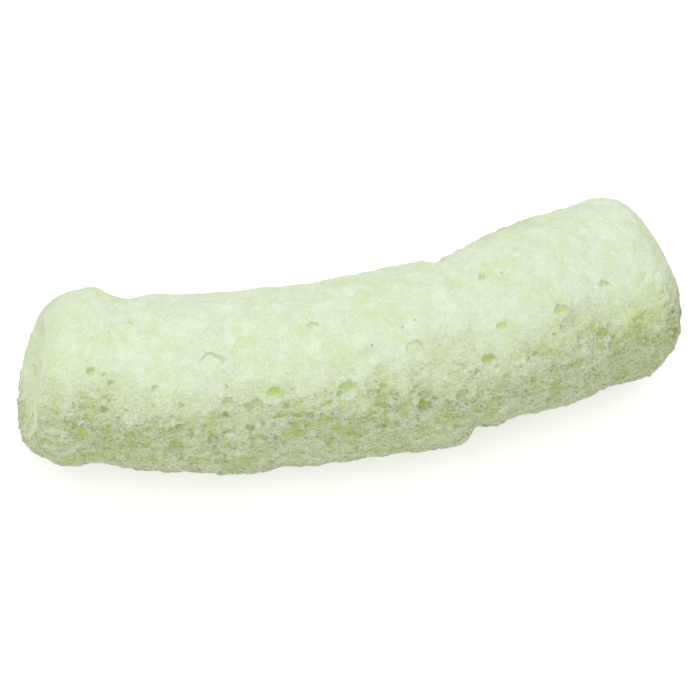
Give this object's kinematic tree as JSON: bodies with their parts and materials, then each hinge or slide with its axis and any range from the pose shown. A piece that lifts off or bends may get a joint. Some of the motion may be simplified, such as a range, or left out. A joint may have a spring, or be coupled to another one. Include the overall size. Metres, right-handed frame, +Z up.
{
  "type": "soft foam bait worm",
  "caption": "Short fat worm-shaped bait of pale green blown foam, lying bent, with a dished cut end and a rounded end; it flexes sideways and up and down.",
  "frame": {"origin": "bottom centre of the bounding box, on the surface that the worm lies on", "axes": "+X along the worm from the dished cut end to the rounded end, +Y towards the side it bends to, +Z up"},
  "size_m": [0.049, 0.0226, 0.0132],
  "materials": {
    "foam_skin": "pale mint green foam skin, satin matt, with domed closed cells and yellow-green burst cells",
    "foam_core": "yellow-green closed-cell foam, seen only through the burst cells"
  },
  "bodies": {
    "middle": {"middle_skin": "foam_skin", "middle_core": "foam_core"},
    "cut_side": {"cut_side_skin": "foam_skin", "cut_side_core": "foam_core"},
    "cut_end": {"cut_end_skin": "foam_skin", "cut_end_core": "foam_core"},
    "round_side": {"round_side_skin": "foam_skin", "round_side_core": "foam_core"},
    "round_end": {"round_end_skin": "foam_skin", "round_end_core": "foam_core"}
  },
  "joints": [
    {"name": "cut_side_lift", "type": "hinge", "parent": "middle", "child": "cut_side", "pos_m": [-0.00186, -0.00376, 0.0064], "axis": [-0.25, 0.9682, 0], "range_deg": [-15, 15], "stiffness_Nm_per_rad": 0.0003},
    {"name": "cut_end_bend", "type": "hinge", "parent": "cut_side", "child": "cut_end", "pos_m": [-0.01258, -0.00481, 0.0064], "axis": [0.005, 0, -1], "range_deg": [-15, 15], "stiffness_Nm_per_rad": 0.0003},
    {"name": "round_side_bend", "type": "hinge", "parent": "middle", "child": "round_side", "pos_m": [0.00838, -0.00114, 0.0064], "axis": [0, 0, 1], "range_deg": [-15, 15], "stiffness_Nm_per_rad": 0.0003},
    {"name": "round_end_lift", "type": "hinge", "parent": "round_side", "child": "round_end", "pos_m": [0.01729, 0.00381, 0.0064], "axis": [0.4305, -0.9026, 0], "range_deg": [-15, 15], "stiffness_Nm_per_rad": 0.0003}
  ]
}
